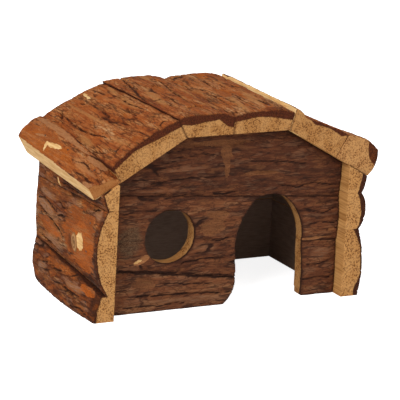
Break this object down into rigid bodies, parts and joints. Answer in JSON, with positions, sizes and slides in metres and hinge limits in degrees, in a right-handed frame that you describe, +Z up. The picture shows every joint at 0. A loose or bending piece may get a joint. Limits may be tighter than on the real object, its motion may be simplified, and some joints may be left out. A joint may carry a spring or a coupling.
{
  "type": "wooden hamster house",
  "caption": "Bottomless small-pet house nailed from bark-on timber slabs, with an arched plank roof, an arched door and a round porthole in the recessed front wall.",
  "frame": {"origin": "on the ground plane, at the middle of the bounding footprint", "axes": "+X across the front to the right, towards the door; +Y from the front with its openings to the back wall; +Z up"},
  "size_m": [0.2599, 0.14, 0.1613],
  "materials": {
    "wall_bark_timber": "reddish brown bark outside, sawn wood inside",
    "roof_bark_timber": "cracked reddish brown bark above, pale sawn end grain",
    "peeled_timber": "bark partly peeled off, light sawn edges",
    "brad_steel": "plain wire steel"
  },
  "bodies": {
    "root": {"left_wall_slab_bottom": "wall_bark_timber", "left_wall_slab_middle": "wall_bark_timber", "left_wall_slab_top": "wall_bark_timber", "right_wall_slab_bottom": "wall_bark_timber", "right_wall_slab_middle": "wall_bark_timber", "right_wall_slab_top": "wall_bark_timber", "front_slab_bottom_left": "wall_bark_timber", "front_slab_bottom_right": "wall_bark_timber", "front_slab_middle_left": "wall_bark_timber", "front_slab_middle_right": "wall_bark_timber", "front_slab_top": "wall_bark_timber", "back_slab_bottom": "wall_bark_timber", "back_slab_middle": "wall_bark_timber", "back_slab_top": "wall_bark_timber", "roof_plank_left_eave": "peeled_timber", "roof_plank_left_slope": "roof_bark_timber", "roof_plank_crown_left": "roof_bark_timber", "roof_plank_crown_right": "roof_bark_timber", "roof_plank_right_slope": "roof_bark_timber", "roof_plank_right_eave": "peeled_timber", "brads": "brad_steel"}
  },
  "joints": []
}
